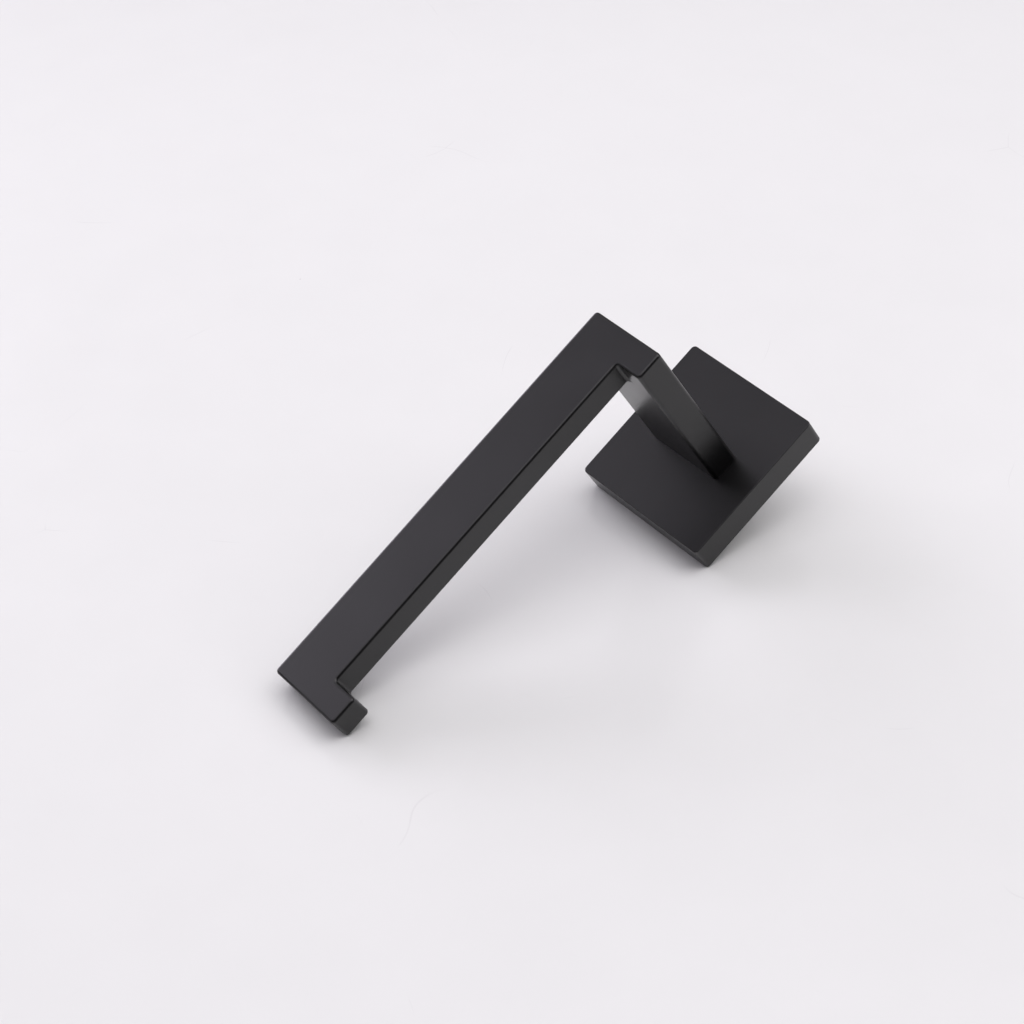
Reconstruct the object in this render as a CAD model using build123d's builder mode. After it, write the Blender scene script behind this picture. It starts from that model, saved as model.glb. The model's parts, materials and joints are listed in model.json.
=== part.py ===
"""A wall-mounted toilet roll holder: a square cover plate, and a flat-bar arm that stands out from it,
turns along the wall and ends in a raised lip. Behind the cover are the wall bracket, the grub screw that
clamps the cover to it, and the two screws that hold the arm, each on a spring washer and a plain washer.

Frame, in millimetres: the origin is the centre of the back, on the wall. +Y points into the wall, +X runs
along the arm to its tip, and +Z is up. A depth is a distance in front of the wall, so it counts along -Y.
"""
import os
from build123d import *

# Cover plate: a hollow square casting, open at the back
cover_side = 50.0
cover_depth = 9.5
cover_side_wall = 2.5
cover_front_wall = 3.0
cover_corner = 1.4
cover_front_round = 0.25
cover_rim_round = 0.3
pocket_corner = 0.8

# Arm: one casting of flat bar, with a saddle for the roll between its shoulder and its lip
bar_thickness = 9.0
bar_height = 27.0
saddle_length = 114.0
saddle_depth = 9.0
arm_projection = 68.0
bar_corner = 1.2
bar_edge_round = 0.8
saddle_corner = 1.0
elbow_fillet = 1.0

# The arm's foot: a tenon in a recess of the cover, and two tapped holes
tenon_shoulder = 1.5
tenon_depth = 1.0
tenon_corner = 0.8
tenon_clearance = 0.1
tapped_depth = 10.0

# Arm fixings: M4 x 12 pan-head screws, each on a spring washer and a plain washer
screw_spacing = 14.0
screw_radius = 2.0
screw_length = 12.0
screw_point_chamfer = 0.5
head_radius = 4.0
head_height = 2.5
head_round = 1.0
cross_length = 4.4
cross_width = 1.0
cross_depth = 1.5
thread_clearance = 0.05
hole_clearance = 0.2
plain_washer_radius = 4.5
plain_washer_bore_clearance = 0.15
plain_washer_thickness = 0.8
spring_washer_radius = 3.75
spring_washer_bore_clearance = 0.1
spring_washer_thickness = 1.1
spring_washer_split = 0.8
spring_washer_lean = 25.0

# Wall bracket: pressed steel, with an upper ear that carries the cover and a lower one for the grub screw
bracket_thickness = 1.5
bracket_side_clearance = 0.5
bracket_corner = 2.0
bend_inside = 0.5
ear_front_clearance = 0.5
upper_ear_clearance = 0.1
upper_ear_width = 30.0
lower_ear_width = 16.0
ear_corner = 1.5
window_clearance = 0.5
slot_spacing = 26.0
slot_length = 8.0
slot_radius = 2.25

# Grub screw: M4 x 6, hexagon socket, cup point, in a boss of the cover's bottom wall
grub_radius = 2.0
grub_length = 6.0
grub_chamfer = 0.3
grub_point_radius = 1.2
grub_cup_radius = 0.8
grub_cup_depth = 0.4
grub_socket_across_flats = 2.0
grub_socket_depth = 2.6
grub_point_clearance = 0.05
grub_hole_chamfer = 0.3
boss_wall = 2.5
boss_height = 3.0
boss_back = 0.5
boss_to_ear = 2.0

# Sizes and places that follow from the ones above
arm_root = -bar_thickness / 2
shoulder_end = arm_root + bar_thickness
lip_start = shoulder_end + saddle_length
arm_tip = lip_start + bar_thickness
bar_bottom = -bar_height / 2
bar_top = bar_height / 2
saddle_floor = bar_top - saddle_depth
arm_back = arm_projection - bar_thickness
tenon_thickness = bar_thickness - 2 * tenon_shoulder
tenon_height = bar_height - 2 * tenon_shoulder
pocket_side = cover_side - 2 * cover_side_wall
pocket_depth = cover_depth - cover_front_wall
cover_bottom = -cover_side / 2
pocket_bottom = -pocket_side / 2
foot_depth = cover_depth - tenon_depth
plain_washer_depth = pocket_depth - plain_washer_thickness
spring_washer_depth = plain_washer_depth - spring_washer_thickness
head_depth = spring_washer_depth - head_height
screw_places = {"upper": screw_spacing / 2, "lower": -screw_spacing / 2}
bend_outside = bend_inside + bracket_thickness
ear_reach = pocket_depth - ear_front_clearance
bracket_width = pocket_side - 2 * bracket_side_clearance
bracket_top = pocket_side / 2 - upper_ear_clearance
bracket_bottom = pocket_bottom + boss_height + boss_to_ear
window_radius = plain_washer_radius + window_clearance
grub_depth = (bracket_thickness + pocket_depth) / 2
grub_point = bracket_bottom - grub_point_clearance
grub_end = grub_point - grub_length


def wall_plane(depth):
    """A plane parallel to the wall, facing away from it, with the frame's X and Z as its own axes."""
    return Plane.XZ.offset(depth)


# The cover plate: rounded outside, with a pocket, the grub screw's boss and the arm's recess and holes
with BuildPart() as cover_plate:
    with BuildSketch(wall_plane(0)):
        RectangleRounded(cover_side, cover_side, cover_corner)
    extrude(amount=cover_depth)
    fillet(cover_plate.faces().sort_by(Axis.Y)[0].edges(), cover_front_round)
    fillet(cover_plate.faces().sort_by(Axis.Y)[-1].edges(), cover_rim_round)
    with BuildSketch(wall_plane(0)):
        RectangleRounded(pocket_side, pocket_side, pocket_corner)
    extrude(amount=pocket_depth, mode=Mode.SUBTRACT)
    with BuildSketch(Plane.XY.offset(pocket_bottom)):
        with Locations((0, -(boss_back + pocket_depth) / 2)):
            Rectangle(2 * (grub_radius + boss_wall), pocket_depth - boss_back)
    extrude(amount=boss_height)
    with BuildSketch(Plane.XY.offset(cover_bottom)):
        with Locations((0, -grub_depth)):
            Circle(grub_radius + thread_clearance)
    extrude(amount=bracket_bottom - cover_bottom, mode=Mode.SUBTRACT)
    grub_mouth = cover_plate.edges().filter_by(GeomType.CIRCLE).group_by(Axis.Z)[0]
    chamfer(grub_mouth, grub_hole_chamfer)
    with BuildSketch(wall_plane(cover_depth)):
        RectangleRounded(
            tenon_thickness + 2 * tenon_clearance,
            tenon_height + 2 * tenon_clearance,
            tenon_corner + tenon_clearance,
        )
    extrude(amount=-(tenon_depth + tenon_clearance), mode=Mode.SUBTRACT)
    with BuildSketch(wall_plane(cover_depth)):
        with Locations(*[(0, z) for z in screw_places.values()]):
            Circle(screw_radius + hole_clearance)
    extrude(amount=-cover_front_wall, mode=Mode.SUBTRACT)
cover_plate.part.label = "cover_plate"

# The roll arm: the shape seen from above and the shape seen from the front, crossed, then rounded. The foot
# has the tenon and the tapped holes
with BuildPart() as roll_arm:
    with BuildSketch(Plane.XY.offset(bar_bottom)) as plan:
        with BuildLine():
            Polyline(
                (arm_root, -cover_depth),
                (arm_root, -arm_projection),
                (arm_tip, -arm_projection),
                (arm_tip, -arm_back),
                (shoulder_end, -arm_back),
                (shoulder_end, -cover_depth),
                close=True,
            )
        make_face()
        elbow = plan.vertices().group_by(Axis.Y)[1].sort_by(Axis.X)[0]
        fillet(elbow, elbow_fillet)
    extrude(amount=bar_height)
    with BuildSketch(wall_plane(cover_depth)) as front:
        with BuildLine():
            Polyline(
                (arm_root, bar_bottom),
                (arm_tip, bar_bottom),
                (arm_tip, bar_top),
                (lip_start, bar_top),
                (lip_start, saddle_floor),
                (shoulder_end, saddle_floor),
                (shoulder_end, bar_top),
                (arm_root, bar_top),
                close=True,
            )
        make_face()
        fillet(front.vertices().group_by(Axis.Y)[1], saddle_corner)
        outer_corners = front.vertices().group_by(Axis.Y)[0] + front.vertices().group_by(Axis.Y)[-1]
        fillet(outer_corners, bar_corner)
    extrude(amount=arm_projection - cover_depth, mode=Mode.INTERSECT)
    bar_front = roll_arm.faces().sort_by(Axis.Y)[0]
    fillet(bar_front.edges(), bar_edge_round)
    bar_back = roll_arm.faces().filter_by(Axis.Y).sort_by(Axis.Y)[1]
    fillet(bar_back.edges().sort_by(Axis.X)[1:], bar_edge_round)
    with BuildSketch(wall_plane(cover_depth)):
        RectangleRounded(tenon_thickness, tenon_height, tenon_corner)
    extrude(amount=-tenon_depth)
    with BuildSketch(wall_plane(foot_depth)):
        with Locations(*[(0, z) for z in screw_places.values()]):
            Circle(screw_radius + thread_clearance)
    extrude(amount=tapped_depth, mode=Mode.SUBTRACT)
roll_arm.part.label = "roll_arm"

# The arm screws, from the pocket through the cover into the foot. The head's dome faces the wall
arm_screws = []
for place, height in screw_places.items():
    with BuildPart() as arm_screw:
        with BuildSketch(wall_plane(head_depth)):
            with Locations((0, height)):
                Circle(head_radius)
        extrude(amount=head_height)
        fillet(arm_screw.edges().sort_by(Axis.Y)[-1], head_round)
        with BuildSketch(wall_plane(spring_washer_depth)):
            with Locations((0, height)):
                Circle(screw_radius)
        extrude(amount=screw_length)
        chamfer(arm_screw.edges().filter_by(GeomType.CIRCLE).sort_by(Axis.Y)[0], screw_point_chamfer)
        with BuildSketch(wall_plane(head_depth)):
            with Locations((0, height)):
                Rectangle(cross_length, cross_width)
                Rectangle(cross_width, cross_length)
        extrude(amount=cross_depth, mode=Mode.SUBTRACT)
    arm_screw.part.label = f"{place}_arm_screw"
    arm_screws.append(arm_screw.part)

# The spring washers, under the heads: each a flat ring with a leaning split, shown pressed flat
spring_washers = []
for place, height in screw_places.items():
    with BuildPart() as spring_washer:
        with BuildSketch(wall_plane(spring_washer_depth)):
            with Locations((0, height)):
                Circle(spring_washer_radius)
                Circle(screw_radius + spring_washer_bore_clearance, mode=Mode.SUBTRACT)
        extrude(amount=spring_washer_thickness)
        with BuildSketch(Plane.YZ):
            with Locations((-(spring_washer_depth + spring_washer_thickness / 2), height)):
                Rectangle(2 * spring_washer_thickness, spring_washer_split, rotation=spring_washer_lean)
        extrude(amount=spring_washer_radius, mode=Mode.SUBTRACT)
    spring_washer.part.label = f"{place}_spring_washer"
    spring_washers.append(spring_washer.part)

# The plain washers, on the pocket's floor
plain_washers = []
for place, height in screw_places.items():
    with BuildPart() as plain_washer:
        with BuildSketch(wall_plane(plain_washer_depth)):
            with Locations((0, height)):
                Circle(plain_washer_radius)
                Circle(screw_radius + plain_washer_bore_clearance, mode=Mode.SUBTRACT)
        extrude(amount=plain_washer_thickness)
    plain_washer.part.label = f"{place}_plain_washer"
    plain_washers.append(plain_washer.part)

# The wall bracket: a bent strip, cut to the outline of the flat plate and its two narrower ears
with BuildPart() as wall_bracket:
    with BuildSketch(Plane.YZ.offset(-bracket_width / 2)) as strip:
        with BuildLine():
            Polyline(
                (-ear_reach, bracket_bottom),
                (0, bracket_bottom),
                (0, bracket_top),
                (-ear_reach, bracket_top),
                (-ear_reach, bracket_top - bracket_thickness),
                (-bracket_thickness, bracket_top - bracket_thickness),
                (-bracket_thickness, bracket_bottom + bracket_thickness),
                (-ear_reach, bracket_bottom + bracket_thickness),
                close=True,
            )
        make_face()
        fillet(strip.vertices().group_by(Axis.X)[-1], bend_outside)
        inner_bends = strip.vertices().filter_by_position(Axis.X, -bracket_thickness, -bracket_thickness)
        fillet(inner_bends, bend_inside)
    extrude(amount=bracket_width)
    with BuildSketch(wall_plane(0)):
        flat_top = bracket_top - bend_outside
        flat_bottom = bracket_bottom + bend_outside
        with Locations((0, (flat_top + flat_bottom) / 2)):
            RectangleRounded(bracket_width, flat_top - flat_bottom, bracket_corner)
        with Locations((0, bracket_top / 2)):
            Rectangle(upper_ear_width, bracket_top)
        with Locations((0, bracket_bottom / 2)):
            Rectangle(lower_ear_width, -bracket_bottom)
        SlotOverall(2 * window_radius + screw_spacing, 2 * window_radius, rotation=90, mode=Mode.SUBTRACT)
        with Locations((-slot_spacing / 2, 0), (slot_spacing / 2, 0)):
            SlotOverall(slot_length, 2 * slot_radius, mode=Mode.SUBTRACT)
    extrude(amount=ear_reach, mode=Mode.INTERSECT)
    ear_tips = wall_bracket.faces().group_by(Axis.Y)[0]
    fillet(ear_tips.edges().filter_by(Axis.Z), ear_corner)
wall_bracket.part.label = "wall_bracket"

# The grub screw: its cup point bears on the lower ear, and its socket is in the cover's bottom edge
with BuildPart() as grub_screw:
    with BuildSketch(Plane.XY.offset(grub_end)):
        with Locations((0, -grub_depth)):
            Circle(grub_radius)
    extrude(amount=grub_length)
    chamfer(grub_screw.edges().sort_by(Axis.Z)[0], grub_chamfer)
    chamfer(grub_screw.edges().sort_by(Axis.Z)[-1], grub_radius - grub_point_radius)
    with BuildSketch(Plane.XY.offset(grub_end)):
        with Locations((0, -grub_depth)):
            RegularPolygon(grub_socket_across_flats / 2, 6, major_radius=False)
    extrude(amount=grub_socket_depth, mode=Mode.SUBTRACT)
    with Locations((0, -grub_depth, grub_point - grub_cup_depth / 2)):
        Cone(0, grub_cup_radius, grub_cup_depth, mode=Mode.SUBTRACT)
grub_screw.part.label = "grub_screw"

os.makedirs("parts", exist_ok=True)
export_step(cover_plate.part, "parts/cover_plate.step")
export_step(roll_arm.part, "parts/roll_arm.step")
export_step(wall_bracket.part, "parts/wall_bracket.step")
export_step(grub_screw.part, "parts/grub_screw.step")
for fixing in arm_screws + spring_washers + plain_washers:
    export_step(fixing, f"parts/{fixing.label}.step")
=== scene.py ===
"""The look of a wall-mounted toilet roll holder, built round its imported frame: two satin black castings, a
pressed steel bracket and small steel fixings, lying on a pale table under soft light. Metres throughout."""
import json
import math

import bmesh
import bpy
from mathutils import Matrix, Vector

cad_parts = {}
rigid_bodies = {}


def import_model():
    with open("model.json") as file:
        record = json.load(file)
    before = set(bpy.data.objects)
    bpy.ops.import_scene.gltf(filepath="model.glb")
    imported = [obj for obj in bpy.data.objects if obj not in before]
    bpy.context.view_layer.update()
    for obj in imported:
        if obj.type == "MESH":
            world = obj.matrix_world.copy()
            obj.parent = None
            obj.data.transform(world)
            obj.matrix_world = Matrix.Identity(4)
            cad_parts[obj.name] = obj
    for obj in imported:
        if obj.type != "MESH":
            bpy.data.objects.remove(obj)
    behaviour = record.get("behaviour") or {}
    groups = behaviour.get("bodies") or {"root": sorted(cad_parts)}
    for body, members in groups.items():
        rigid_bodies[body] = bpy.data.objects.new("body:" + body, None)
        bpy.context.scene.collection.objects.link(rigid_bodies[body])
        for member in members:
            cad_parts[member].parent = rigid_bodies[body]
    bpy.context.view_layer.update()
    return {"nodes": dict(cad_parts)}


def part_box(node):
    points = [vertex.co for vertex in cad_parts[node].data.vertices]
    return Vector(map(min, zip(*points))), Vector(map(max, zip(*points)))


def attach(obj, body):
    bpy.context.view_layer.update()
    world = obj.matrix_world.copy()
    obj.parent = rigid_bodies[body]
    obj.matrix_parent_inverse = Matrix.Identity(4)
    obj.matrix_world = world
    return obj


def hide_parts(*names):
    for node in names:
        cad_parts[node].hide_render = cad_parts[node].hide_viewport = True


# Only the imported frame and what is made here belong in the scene, so Blender's own first objects go.
for leftover in list(bpy.data.objects):
    bpy.data.objects.remove(leftover)
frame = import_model()


# ---- Wall bracket: a strip of stainless steel, punched and bent up at both ends, screwed to the wall
# through its two level slots. The grain of the rolling mill runs across it from side to side, and the
# bending tool has rubbed it bright along both bends.
class Wire:
    """A node's output. Sums on it add the Math nodes that work them out."""

    def __init__(self, link):
        self.link = link
        self.tree = link.id_data

    def node(self, kind, settings=None, inputs=None, output=0):
        """Adds a node of that kind: its settings first, then its sockets' values or links."""
        made = self.tree.nodes.new(kind)
        for name, value in (settings or {}).items():
            setattr(made, name, value)
        for name, value in (inputs or {}).items():
            if isinstance(value, Wire):
                self.tree.links.new(value.link, made.inputs[name])
            else:
                made.inputs[name].default_value = value
        return Wire(made.outputs[output])

    def math(self, operation, *values):
        return self.node("ShaderNodeMath", {"operation": operation}, dict(enumerate(values)))

    def vector(self, operation, *values, output="Vector"):
        return self.node("ShaderNodeVectorMath", {"operation": operation}, dict(enumerate(values)), output)

    def __add__(self, other):
        return self.math("ADD", self, other)

    __radd__ = __add__

    def __sub__(self, other):
        return self.math("SUBTRACT", self, other)

    def __rsub__(self, other):
        return self.math("SUBTRACT", other, self)

    def __mul__(self, other):
        return self.math("MULTIPLY", self, other)

    __rmul__ = __mul__

    def __abs__(self):
        return self.math("ABSOLUTE", self)

    def maximum(self, other):
        return self.math("MAXIMUM", self, other)

    def step(self, start, end):
        """0 before start and 1 after end, with a smooth rise between. End may be below start."""
        settings = {"interpolation_type": "SMOOTHSTEP"}
        return self.node("ShaderNodeMapRange", settings, {"Value": self, "From Min": start, "From Max": end})

    def mix(self, colour, other):
        """The colour where this wire is 0, and the other one where it is 1."""
        sockets = {0: self, 6: colour, 7: other}
        return self.node("ShaderNodeMix", {"data_type": "RGBA"}, sockets, 2)

    def grain(self, size, detail=2.0, stretch=(1, 1, 1)):
        """Noise on a place wire, about 0.5 all over, with features of that size, longer where stretch is."""
        shrunk = self.vector("DIVIDE", self, stretch)
        sockets = {"Vector": shrunk, "Scale": 1 / size, "Detail": detail}
        return shrunk.node("ShaderNodeTexNoise", None, sockets)

    def bump(self, height, strength):
        """A surface normal for a height in metres."""
        sockets = {"Height": self, "Distance": height, "Strength": strength}
        return self.node("ShaderNodeBump", None, sockets, "Normal")

    def height(self):
        """The Z of a place wire."""
        return self.node("ShaderNodeSeparateXYZ", None, {0: self}, "Z")


def new_material(name):
    """A material, its Principled shader, and the wire of the place on the piece, in metres."""
    material = bpy.data.materials.new(name)
    material.use_nodes = True
    shader = material.node_tree.nodes["Principled BSDF"]
    place = material.node_tree.nodes.new("ShaderNodeTexCoord").outputs["Object"]
    return material, shader, Wire(place)


def finish_shader(shader, **sockets):
    """Sets or links the shader's sockets, named with underscores for spaces."""
    for name, value in sockets.items():
        socket = shader.inputs[name.replace("_", " ")]
        if isinstance(value, Wire):
            socket.id_data.links.new(value.link, socket)
        else:
            socket.default_value = value


bend_reach = 0.0020
rubbed_width = 0.0012
mill_line = 0.00006
mill_line_stretch = (120, 1, 1)
hairline_width = 0.00022
hairline_stretch = (60, 1, 1)
haze_size = 0.011
steel_dark = (0.42, 0.42, 0.41, 1)
steel_light = (0.58, 0.575, 0.56, 1)
steel_haze = (0.47, 0.465, 0.44, 1)
steel_rubbed = (0.68, 0.675, 0.66, 1)
mill_line_depth = 0.000006

bracket = frame["nodes"]["wall_bracket"]
bracket_low, bracket_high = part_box("wall_bracket")
pressed_steel, shader, place = new_material("pressed_steel")
rolling = place.grain(mill_line, 2, mill_line_stretch)
haze = place.grain(haze_size, 3)
hairline = place.grain(hairline_width, 2, hairline_stretch).step(0.66, 0.72)
upper_bend = abs(place.height() - (bracket_high.z - bend_reach)).step(rubbed_width, 0)
lower_bend = abs(place.height() - (bracket_low.z + bend_reach)).step(rubbed_width, 0)
rubbed = upper_bend.maximum(lower_bend)
rolled_tone = rolling.mix(steel_dark, steel_light)
hazed_tone = (0.5 * haze).mix(rolled_tone, steel_haze)
finish_shader(
    shader,
    Base_Color=(0.6 * rubbed).mix(hazed_tone, steel_rubbed),
    Metallic=1.0,
    Roughness=0.30 + 0.12 * haze + 0.08 * rolling - 0.10 * rubbed,
    Normal=(rolling - 0.5 * hairline).bump(mill_line_depth, 0.6),
)
bracket.data.materials[0] = pressed_steel

# ---- Cover plate: a hollow square casting of zinc alloy, blasted, then powder coated in satin black. The
# coat flows out smooth, with a very faint orange peel, and is a little duller where the powder lay thicker.
coat_black = (0.0014, 0.0013, 0.0015, 1)
coat_thick = (0.0024, 0.0023, 0.0026, 1)
powder_patch = 0.018
peel_size = 0.0011
speckle_size = 0.00016
peel_depth = 0.0000035

satin_black_coat, shader, place = new_material("satin_black_coat")
powder = place.grain(powder_patch, 3)
peel = place.grain(peel_size, 1)
speckle = place.grain(speckle_size, 2)
finish_shader(
    shader,
    Base_Color=powder.mix(coat_black, coat_thick),
    Roughness=0.27 + 0.05 * powder + 0.04 * speckle,
    Normal=(peel + 0.25 * speckle).bump(peel_depth, 0.5),
)
cover_plate = frame["nodes"]["cover_plate"]
cover_plate.data.materials[0] = satin_black_coat

# ---- Roll arm: one casting from its foot on the cover to the lip at its tip, coated with the cover in the
# same satin black. Its foot is drawn down into the cover's recess by the two screws behind.
roll_arm = frame["nodes"]["roll_arm"]
roll_arm.data.materials[0] = satin_black_coat


# ---- Arm screws: two M4 x 12 pan-head screws with a cross recess, cold headed, with rolled threads and
# bright zinc plating. They pass through both washers and the cover's front wall into the arm's foot.
thread_radius = 0.002
thread_pitch = 0.0007
screw_end_radius = 0.0015
screw_end_taper = 1.2
head_radius = 0.004
head_height = 0.0025
under_edge = 0.00012
side_height = 0.0013
crown_width = 0.0011
crown_rise = 0.0009
dome = [(0.0018, 0.00244), (0.0009, 0.00249), (0, head_height)]
wing_reach = 0.0022
wing_half = 0.0005
recess_depth = 0.0016
recess_margin = 0.0005
zinc_blue = (0.55, 0.58, 0.63, 1)
zinc_yellow = (0.66, 0.64, 0.57, 1)
zinc_grey = (0.48, 0.49, 0.50, 1)
zinc_mottle = 0.0012
zinc_tint = 0.0045
zinc_grain = 0.00009
zinc_grain_depth = 0.000003
sharp_angle = math.radians(35)
weld_gap = 1e-7


def add_object(name, data):
    made = bpy.data.objects.new(name, data)
    bpy.context.scene.collection.objects.link(made)
    return made


def closed_mesh(name, form):
    """Welds a closed form's seams, turns its faces outward and gives it back as a mesh."""
    bmesh.ops.remove_doubles(form, verts=form.verts, dist=weld_gap)
    bmesh.ops.dissolve_degenerate(form, edges=form.edges, dist=weld_gap)
    bmesh.ops.recalc_face_normals(form, faces=form.faces)
    mesh = bpy.data.meshes.new(name)
    form.to_mesh(mesh)
    form.free()
    return mesh


def fixing_piece(node, form, material, body):
    """Makes the closed form into the piece shown for that CAD node, and rides it on the body."""
    mesh = closed_mesh(f"{node}_turned", form)
    mesh.shade_smooth()
    mesh.set_sharp_from_angle(angle=sharp_angle)
    mesh.materials.append(material)
    piece = add_object(mesh.name, mesh)
    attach(piece, body)
    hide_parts(node)


def turned(form, profile, segments=64):
    """Revolves (radius, height) points round the Z axis. A radius of 0 closes the end."""
    rings = []
    for radius, height in profile:
        angles = [2 * math.pi * step / segments for step in range(segments if radius > 0 else 1)]
        rings.append([form.verts.new((radius * math.cos(a), radius * math.sin(a), height)) for a in angles])
    for lower, upper in zip(rings, rings[1:]):
        for step in range(segments):
            after = (step + 1) % segments
            corners = [lower[step % len(lower)], lower[after % len(lower)]]
            corners += [upper[after % len(upper)], upper[step % len(upper)]]
            form.faces.new(list(dict.fromkeys(corners)))


def skin(form, rings):
    """Walls between rings that have the same number of points, with a cap on the first and the last."""
    for lower, upper in zip(rings, rings[1:]):
        for step in range(len(lower)):
            after = (step + 1) % len(lower)
            form.faces.new([lower[step], lower[after], upper[after], upper[step]])
    form.faces.new(rings[0])
    form.faces.new(list(reversed(rings[-1])))


def rolled_thread(form, length, end_radius, end_taper, segments=64):
    """A helical thread up the Z axis from 0. Its rows follow the helix, and both ends run out on cones."""
    root = thread_radius - 0.61 * thread_pitch
    groove = [(0.0, thread_radius), (0.12, thread_radius), (0.42, root), (0.58, root), (0.88, thread_radius)]
    rows = []
    for turn in range(-2, math.ceil(length / thread_pitch) + 1):
        for share, radius in groove:
            row = []
            for step in range(segments + 1):
                angle = 2 * math.pi * step / segments
                height = min(max((turn + share + step / segments) * thread_pitch, 0), length)
                reach = min(radius, end_radius + min(height, length - height) * end_taper)
                row.append(form.verts.new((reach * math.cos(angle), reach * math.sin(angle), height)))
            rows.append(row)
    for lower, upper in zip(rows, rows[1:]):
        for step in range(segments):
            form.faces.new([lower[step], lower[step + 1], upper[step + 1], upper[step]])


def cut_away(form, cutter):
    """Takes the closed cutter out of the closed form, and gives back the rest as a new form."""
    body = add_object("uncut", closed_mesh("uncut", form))
    tool = add_object("cutter", closed_mesh("cutter", cutter))
    cut = body.modifiers.new("cut", "BOOLEAN")
    cut.object = tool
    cut.solver = "EXACT"
    bpy.context.view_layer.update()
    rest = bmesh.new()
    rest.from_mesh(body.evaluated_get(bpy.context.evaluated_depsgraph_get()).to_mesh())
    bpy.data.objects.remove(body)
    bpy.data.objects.remove(tool)
    return rest


def point_at_wall(form, start):
    """Turns a form made up the Z axis to run straight toward the wall from its start."""
    tilt = Matrix.Rotation(math.radians(-90), 4, "X")
    bmesh.ops.transform(form, matrix=Matrix.Translation(start) @ tilt, verts=form.verts)


def cross_recess(top):
    """A closed cross with four tapered wings, from just above the head's top down into it."""
    cutter = bmesh.new()
    rings = []
    for depth, spread in ((-recess_margin, 1.12), (0.9 * recess_depth, 0.52), (recess_depth, 0.40)):
        half = wing_half * (0.6 + 0.4 * spread)
        reach = wing_reach * spread
        ring = []
        for quarter in range(4):
            turn = Matrix.Rotation(math.radians(90 * quarter), 3, "Z")
            for x, y in ((reach, -half), (reach, half), (half, half)):
                ring.append(cutter.verts.new(turn @ Vector((x, y, top - depth))))
        rings.append(ring)
    skin(cutter, rings)
    return cutter


bright_zinc, shader, place = new_material("bright_zinc")
mottle = place.grain(zinc_mottle, 3)
passivated = place.grain(zinc_tint, 1).mix(zinc_blue, zinc_yellow)
finish_shader(
    shader,
    Base_Color=(0.6 * mottle).mix(passivated, zinc_grey),
    Metallic=1.0,
    Roughness=0.20 + 0.22 * mottle,
    Normal=place.grain(zinc_grain, 2).bump(zinc_grain_depth, 0.7),
)
crown = [math.radians(10 * step) for step in range(9)]
head = [(screw_end_radius, 0), (head_radius - under_edge, 0), (head_radius, under_edge)]
for angle in crown:
    inward = crown_width * (1 - math.cos(angle))
    head.append((head_radius - inward, side_height + crown_rise * math.sin(angle)))
head += dome
for node in ("upper_arm_screw", "lower_arm_screw"):
    low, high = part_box(node)
    centre = (low + high) / 2
    length = high.y - low.y
    underside = length - head_height
    form = bmesh.new()
    turned(form, [(radius, underside + height) for radius, height in head])
    rolled_thread(form, underside, screw_end_radius, screw_end_taper)
    turned(form, [(0, 0), (screw_end_radius, 0)])
    screw = cut_away(form, cross_recess(length))
    point_at_wall(screw, (centre.x, low.y, centre.z))
    fixing_piece(node, screw, bright_zinc, "holder")

# ---- Spring washers: square wire coiled to one turn and split on a slant, hardened and zinc plated. Under
# the tightened heads they lie flat, with the split open.
spring_bore = thread_radius + 0.0001
split_gap = 0.0008
split_slant = math.tan(math.radians(25))
wire_corner = 0.00014
coil_steps = 96
for node in ("upper_spring_washer", "lower_spring_washer"):
    low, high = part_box(node)
    centre = (low + high) / 2
    thick = high.y - low.y
    inner = spring_bore + wire_corner
    outer = (high.z - low.z) / 2 - wire_corner
    low_side = wire_corner
    high_side = thick - wire_corner
    corners = [(outer, high_side, 0), (inner, high_side, 90), (inner, low_side, 180), (outer, low_side, 270)]
    section = []
    for radius, height, first in corners:
        for angle in [math.radians(first + 30 * step) for step in range(4)]:
            section.append((radius + wire_corner * math.cos(angle), height + wire_corner * math.sin(angle)))
    form = bmesh.new()
    rings = []
    for step in range(coil_steps + 1):
        ring = []
        for radius, height in section:
            gap = split_gap / 2 / radius
            slant = (height - thick / 2) * split_slant / radius
            angle = gap + slant + (2 * math.pi - 2 * gap) * step / coil_steps
            ring.append(form.verts.new((radius * math.cos(angle), -height, radius * math.sin(angle))))
        rings.append(ring)
    skin(form, rings)
    bmesh.ops.translate(form, vec=(centre.x, high.y, centre.z), verts=form.verts)
    fixing_piece(node, form, bright_zinc, "holder")

# ---- Plain washers: punched from zinc-plated strip. The punch rolls one edge over and leaves the other
# crisp. They lie on the pocket's floor and spread the screws' load.
plain_bore = thread_radius + 0.00015
rolled_edge = 0.00022
crisp_edge = 0.00003
quarter_turn = [math.radians(15 * step) for step in range(7)]
for node in ("upper_plain_washer", "lower_plain_washer"):
    low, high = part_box(node)
    centre = (low + high) / 2
    outer = (high.z - low.z) / 2
    thick = high.y - low.y
    profile = [(plain_bore + crisp_edge, 0), (outer - crisp_edge, 0), (outer, crisp_edge)]
    for angle in quarter_turn:
        inward = rolled_edge * (1 - math.cos(angle))
        profile.append((outer - inward, thick - rolled_edge * (1 - math.sin(angle))))
    for angle in quarter_turn:
        outward = rolled_edge * (1 - math.sin(angle))
        profile.append((plain_bore + outward, thick - rolled_edge * (1 - math.cos(angle))))
    profile += [(plain_bore, crisp_edge), (plain_bore + crisp_edge, 0)]
    form = bmesh.new()
    turned(form, profile, 96)
    point_at_wall(form, (centre.x, low.y, centre.z))
    fixing_piece(node, form, bright_zinc, "holder")

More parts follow.
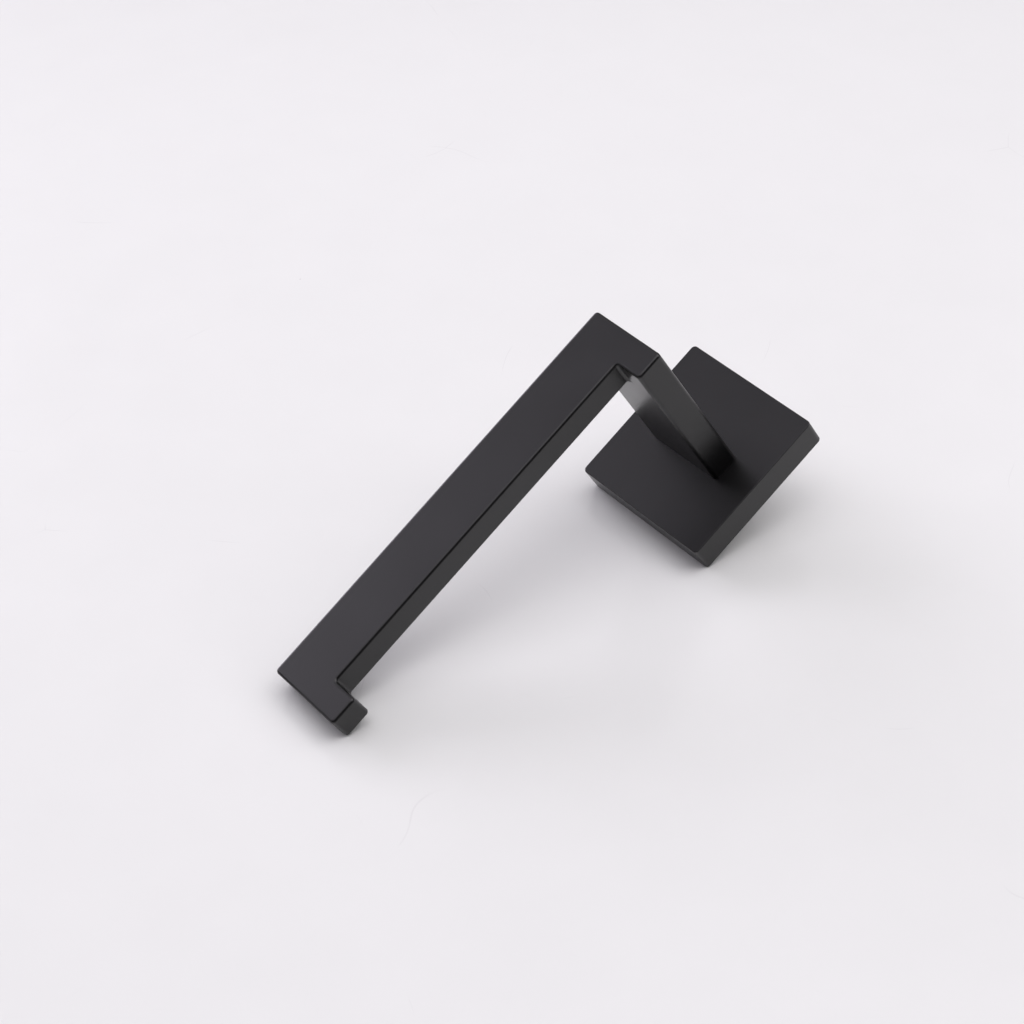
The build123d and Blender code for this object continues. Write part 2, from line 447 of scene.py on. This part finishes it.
# ---- Grub screw: M4 x 6 with a hexagon socket and a cup point, hardened and blackened in oil. It is driven
# up through the cover's bottom edge until its cup bites on the bracket's lower ear.
socket_corner = 0.001 / math.cos(math.radians(30))
socket_depth = 0.0026
socket_drill_point = 0.0004
socket_margin = 0.0004
grub_end_radius = 0.00125
grub_end_taper = 1.0
cup_profile = [(grub_end_radius, 0), (0.0009, 0), (0.0008, 0.00003), (0, 0.0004)]
oxide_black = (0.028, 0.028, 0.031, 1)
oxide_worn = (0.20, 0.195, 0.19, 1)
worn_crest = 0.00186
oil_film = 0.0016
oxide_grain = 0.00008
oxide_grain_depth = 0.000003

low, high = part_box("grub_screw")
centre = (low + high) / 2
length = high.z - low.z
black_oxide, shader, place = new_material("black_oxide")
oil = place.grain(oil_film, 3)
from_axis = place.vector("SUBTRACT", place, tuple(centre))
across = from_axis.vector("MULTIPLY", from_axis, (1, 1, 0))
crest = across.vector("LENGTH", across, output="Value").step(worn_crest, thread_radius)
finish_shader(
    shader,
    Base_Color=(0.5 * crest).mix(oxide_black, oxide_worn),
    Metallic=1.0,
    Roughness=0.24 + 0.22 * oil,
    Normal=place.grain(oxide_grain, 2).bump(oxide_grain_depth, 0.6),
)
form = bmesh.new()
rolled_thread(form, length, grub_end_radius, grub_end_taper)
turned(form, [(0, 0), (grub_end_radius, 0)])
turned(form, [(radius, length - depth) for radius, depth in cup_profile])
cutter = bmesh.new()
socket_profile = [(0, -socket_margin), (socket_corner, -socket_margin), (socket_corner, socket_depth)]
socket_profile += [(0, socket_depth + socket_drill_point)]
turned(cutter, socket_profile, 6)
flats_sideways = Matrix.Rotation(math.radians(30), 3, "Z")
bmesh.ops.rotate(cutter, cent=(0, 0, 0), matrix=flats_sideways, verts=cutter.verts)
grub = cut_away(form, cutter)
bmesh.ops.translate(grub, vec=(centre.x, centre.y, low.z), verts=grub.verts)
fixing_piece("grub_screw", grub, black_oxide, "grub_screw")

# ---- Table: a pale laminate top with a light sheen, faint clouding, a few hairline scratches and specks.
# The holder lies on it on two edges, the cover's back edge and the back of the arm's tip.
bar_thickness = 0.009
table_radius = 2.4
fade_start = 1.4
fade_end = 2.3
laminate_pale = (0.775, 0.785, 0.765, 1)
laminate_light = (0.805, 0.815, 0.795, 1)
laminate_mark = (0.35, 0.34, 0.35, 1)
cloud_size = 0.028
wander_scale = 14.0
wander_reach = 0.05
scratch_scale = 9.0
scratch_edge = 0.0022
scratch_core = 0.0006
scratch_patch = 0.030
speck_scale = 38.0
speck_edge = 0.016
speck_core = 0.008
speck_patch = 0.05

cover_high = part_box("cover_plate")[1]
arm_low, arm_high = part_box("roll_arm")
cover_edge = Vector((cover_high.x, cover_high.y, 0))
tip_edge = Vector((arm_high.x, arm_low.y + bar_thickness, 0))
along_table = (tip_edge - cover_edge).normalized()
table_up = along_table.cross(Vector((0, 0, 1)))
table_centre = cover_edge.lerp(tip_edge, 0.5)
table_turn = Matrix((along_table, table_up.cross(along_table), table_up)).transposed().to_4x4()
table_mesh = bpy.data.meshes.new("table_top")
form = bmesh.new()
bmesh.ops.create_circle(form, cap_ends=True, segments=96, radius=table_radius)
form.to_mesh(table_mesh)
form.free()
table_top = add_object("table_top", table_mesh)
table_top.matrix_world = Matrix.Translation(table_centre) @ table_turn

pale_laminate, shader, place = new_material("pale_laminate")
sockets = {"Vector": place, "Scale": wander_scale, "Detail": 2.0}
wander = place.node("ShaderNodeTexNoise", None, sockets, "Color")
wandering = place.vector("ADD", place, wander.vector("MULTIPLY", wander, (wander_reach,) * 3))
to_edge = {"feature": "DISTANCE_TO_EDGE"}
hairs = wandering.node("ShaderNodeTexVoronoi", to_edge, {"Vector": wandering, "Scale": scratch_scale})
scratch = hairs.step(scratch_edge, scratch_core) * place.grain(scratch_patch, 2).step(0.56, 0.66)
dots = place.node("ShaderNodeTexVoronoi", {"feature": "F1"}, {"Vector": place, "Scale": speck_scale})
speck = dots.step(speck_edge, speck_core) * place.grain(speck_patch, 1).step(0.52, 0.6)
marks = (0.10 * scratch).maximum(0.35 * speck)
cloud = place.grain(cloud_size, 4)
finish_shader(
    shader,
    Base_Color=marks.mix(cloud.mix(laminate_pale, laminate_light), laminate_mark),
    Roughness=0.13 + 0.08 * cloud,
)
from_below = place.node("ShaderNodeNewGeometry", output="Backfacing")
beyond = place.vector("LENGTH", place, output="Value").step(fade_start, fade_end)
clear = place.node("ShaderNodeBsdfTransparent")
sockets = {0: from_below.maximum(beyond), 1: Wire(shader.outputs[0]), 2: clear}
seen = place.node("ShaderNodeMixShader", None, sockets)
surface = pale_laminate.node_tree.nodes["Material Output"].inputs["Surface"]
pale_laminate.node_tree.links.new(seen.link, surface)
table_mesh.materials.append(pale_laminate)

# ---- Camera: a long lens beyond the holder's upper side and tip, looking down at the table at about forty
# degrees, with the arm running from the lower left to the upper right.
lens_length = 86.887
film_width = 36
stand = Vector((0.10608, -0.58568, 0.41599))
target = Vector((0.05104, -0.04139, -0.00943))
upward = Vector((-0.74532, -0.45572, -0.48663))
camera_data = bpy.data.cameras.new("camera")
camera_data.lens = lens_length
camera_data.sensor_width = film_width
camera = add_object("camera", camera_data)
back = (stand - target).normalized()
right = upward.cross(back).normalized()
camera_turn = Matrix((right, back.cross(right), back)).transposed().to_4x4()
camera.matrix_world = Matrix.Translation(stand) @ camera_turn
bpy.context.scene.camera = camera

# ---- Studio: softboxes round the table, each aimed at the holder. Azimuth 0 is beyond it as the camera
# looks, 90 is on the right, and the elevation is above the table. Powers are in watts.
softbox_distance = 2.4
cool = (1.0, 0.945, 1.06)
neutral = (1.0, 0.965, 1.01)
fill_brightness = 0.02
backdrop_brightness = 0.84
away = table_centre - stand
away = (away - table_up * away.dot(table_up)).normalized()
rightward = away.cross(table_up)


def softbox(name, azimuth, elevation, width, height, power, colour):
    light = bpy.data.lights.new(name, "AREA")
    light.shape = "RECTANGLE"
    light.size = width
    light.size_y = height
    light.energy = power
    light.color = colour
    made = add_object(name, light)
    level = away * math.cos(math.radians(azimuth)) + rightward * math.sin(math.radians(azimuth))
    toward = level * math.cos(math.radians(elevation)) + table_up * math.sin(math.radians(elevation))
    side = rightward if elevation == 90 else table_up.cross(toward).normalized()
    turn = Matrix((side, toward.cross(side), toward)).transposed().to_4x4()
    made.matrix_world = Matrix.Translation(table_centre + toward * softbox_distance) @ turn
    made.visible_camera = False


softbox("left_low_softbox", -45, 20, 2.0, 1.4, 39.5, cool)
softbox("left_softbox", -90, 47, 2.0, 2.0, 8, cool)
softbox("far_softbox", 0, 47, 2.0, 2.0, 8, neutral)
softbox("far_right_softbox", 45, 47, 2.0, 2.0, 4, neutral)
softbox("right_softbox", 90, 47, 2.0, 2.0, 19, neutral)
softbox("overhead_right_softbox", 60, 72, 1.8, 1.8, 4, neutral)
softbox("overhead_near_right_softbox", 135, 72, 1.8, 1.8, 12, neutral)
softbox("overhead_softbox", 0, 90, 1.8, 1.8, 6, neutral)
softbox("overhead_near_softbox", -120, 74, 1.8, 1.8, 12, neutral)

world = bpy.data.worlds.new("studio")
bpy.context.scene.world = world
world.use_nodes = True
background = world.node_tree.nodes["Background"]
background.inputs["Color"].default_value = (1, 1, 1, 1)
seen_directly = Wire(world.node_tree.nodes.new("ShaderNodeLightPath").outputs["Is Camera Ray"])
brightness = fill_brightness + (backdrop_brightness - fill_brightness) * seen_directly
world.node_tree.links.new(brightness.link, background.inputs["Strength"])
bpy.context.scene.view_settings.view_transform = "Standard"
